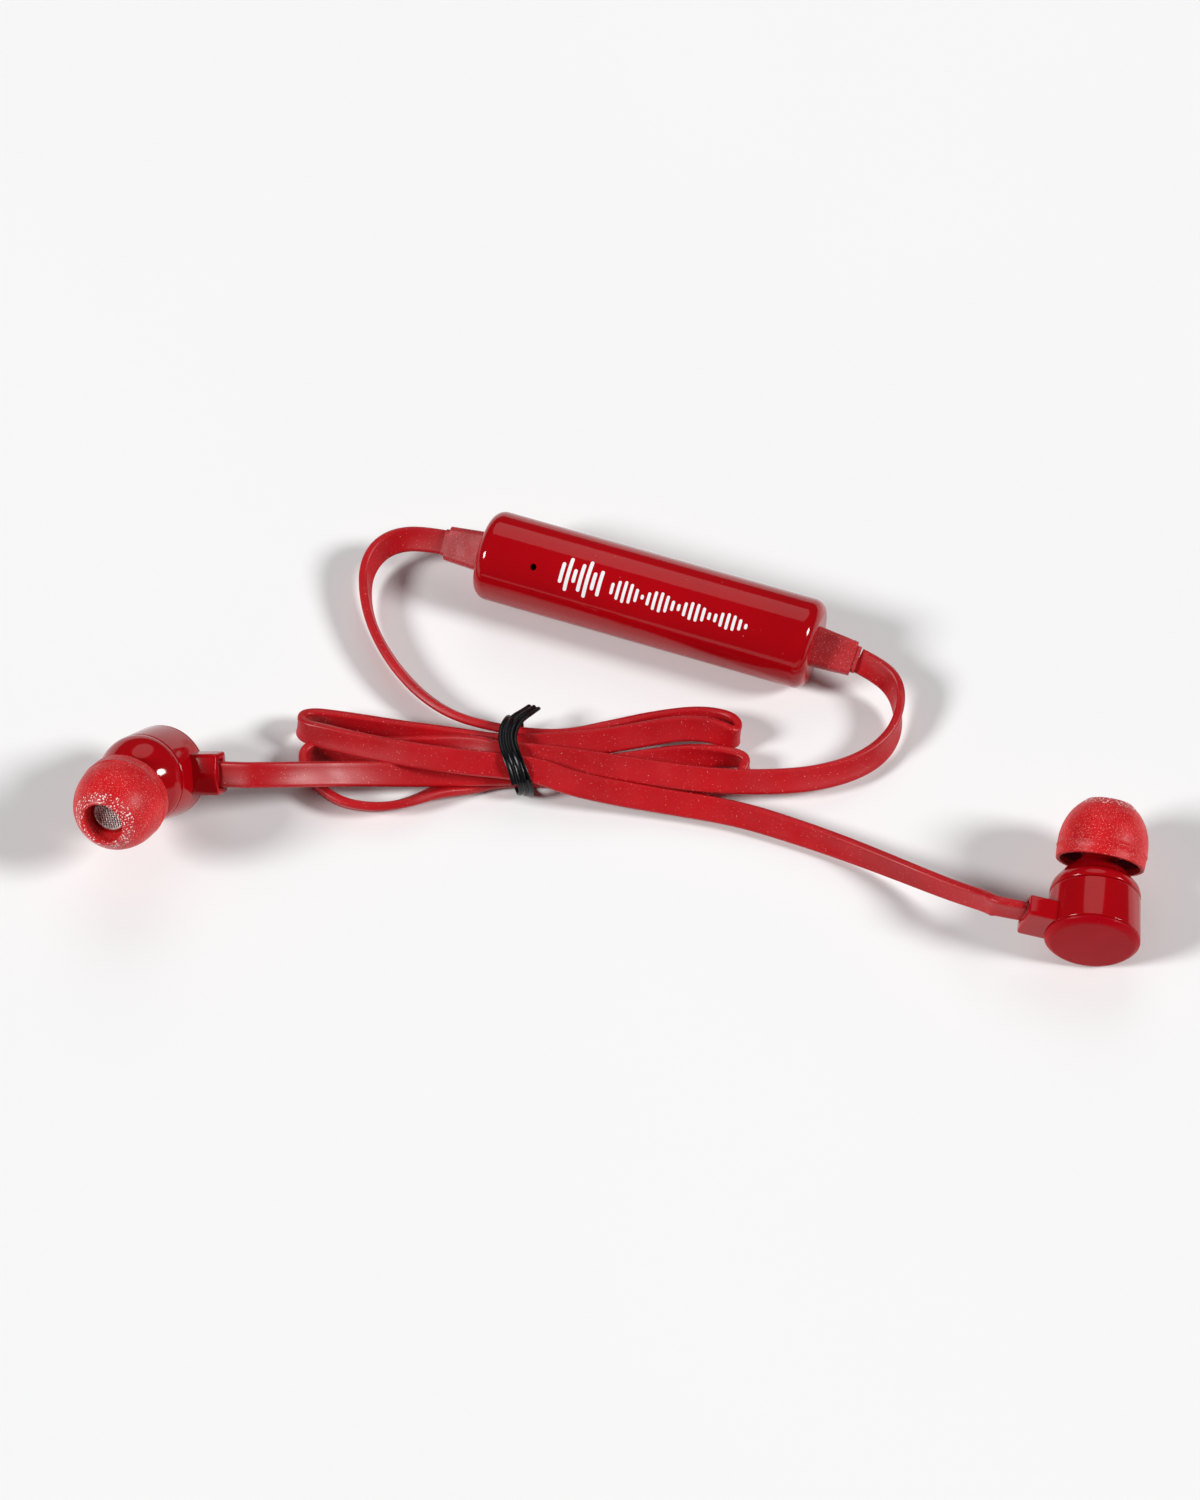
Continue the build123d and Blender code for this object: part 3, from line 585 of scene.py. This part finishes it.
# ---- twist tie: a ribbed band with a wire in it, wound once and twisted shut ----
tie_route = [
    (-10.3, 4.6, 4.8), (-11.2, 3.3, 5.6), (-12.6, 1.8, 6.2), (-13.3, 0.2, 6.4), (-13.6, -1.8, 6.7),
    (-13.1, -3.9, 6.7), (-12.2, -6.1, 6.0), (-11.4, -7.5, 4.4), (-11.2, -7.6, 2.4),
    (-11.5, -6.8, 0.9), (-12.1, -4.8, 0.4), (-12.4, -1.8, 0.35), (-12.5, 1.4, 0.4),
    (-12.7, 3.3, 1.4), (-12.8, 3.8, 3.2), (-12.9, 3.0, 5.2), (-13.4, 1.3, 6.5),
    (-14.0, -0.6, 6.9), (-14.0, -2.4, 7.0), (-13.4, -4.6, 7.0), (-12.6, -6.4, 6.2),
    (-12.2, -7.6, 4.9),
]


def make_tie():
    """The band's width stays along the hank; the profile is (across, through)."""
    profile = [(-1.0, 0.0), (-1.0, 0.13), (-0.86, 0.2), (-0.6, 0.2), (-0.5, 0.1), (-0.3, 0.1), (-0.22, 0.24),
               (0.0, 0.32), (0.22, 0.24), (0.3, 0.1), (0.5, 0.1), (0.6, 0.2), (0.86, 0.2), (1.0, 0.13),
               (1.0, 0.0)]
    outline = profile + [(a, -t) for a, t in reversed(profile[1:-1])]
    line = line_through("tie_line", [Vector(p) * mm for p in tie_route], line_steps)
    along, rows = Vector((1, 0, 0)), []
    for k, centre in enumerate(line):
        heading = heading_at(line, k)
        across = (along - heading * along.dot(heading)).normalized()
        through = heading.cross(across)
        rows += [centre + (across * a + through * t) * mm for a, t in outline]
    tie = piece("tie_band", rows, tube_faces(len(line), len(outline)), tie_black, sharp=50)
    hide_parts("twist_tie")


make_tie()

# ---- floor and lights ----
floor_look = material("floor_white", (0.86, 0.86, 0.86), shade=0.01, patch=6, rough=0.6,
                      rough_spread=0.02, specular=0.2)
floor_half = 3
floor_corners = [(x * floor_half, y * floor_half, 0) for x, y in ((-1, -1), (1, -1), (1, 1), (-1, 1))]
floor_mesh = bpy.data.meshes.new("floor")
floor_mesh.from_pydata(floor_corners, [], [(0, 1, 2, 3)])
floor_mesh.materials.append(floor_look)
floor = bpy.data.objects.new("floor", floor_mesh)
scene.collection.objects.link(floor)


def soft_light(name, place, spread, strength):
    """An even light from the side that place lies on; spread is its width in degrees."""
    data = bpy.data.lights.new(name, "SUN")
    data.angle = radians(spread)
    data.energy = strength
    light = bpy.data.objects.new(name, data)
    light.location = place
    light.rotation_euler = (-Vector(place)).to_track_quat("-Z", "Y").to_euler()
    scene.collection.objects.link(light)


soft_light("left_light", (-0.80, -0.28, 0.62), 16, 2.45)
soft_light("right_light", (0.80, -0.18, 0.62), 16, 2.45)
soft_light("back_light", (0.0, 0.70, 0.80), 40, 0.40)

world = bpy.data.worlds.new("studio")
world.use_nodes = True
background = world.node_tree.nodes["Background"]
background.inputs["Color"].default_value = (0.92, 0.92, 0.95, 1)
background.inputs["Strength"].default_value = 0.07
scene.world = world
scene.view_settings.view_transform = "Standard"

bpy.context.view_layer.update()
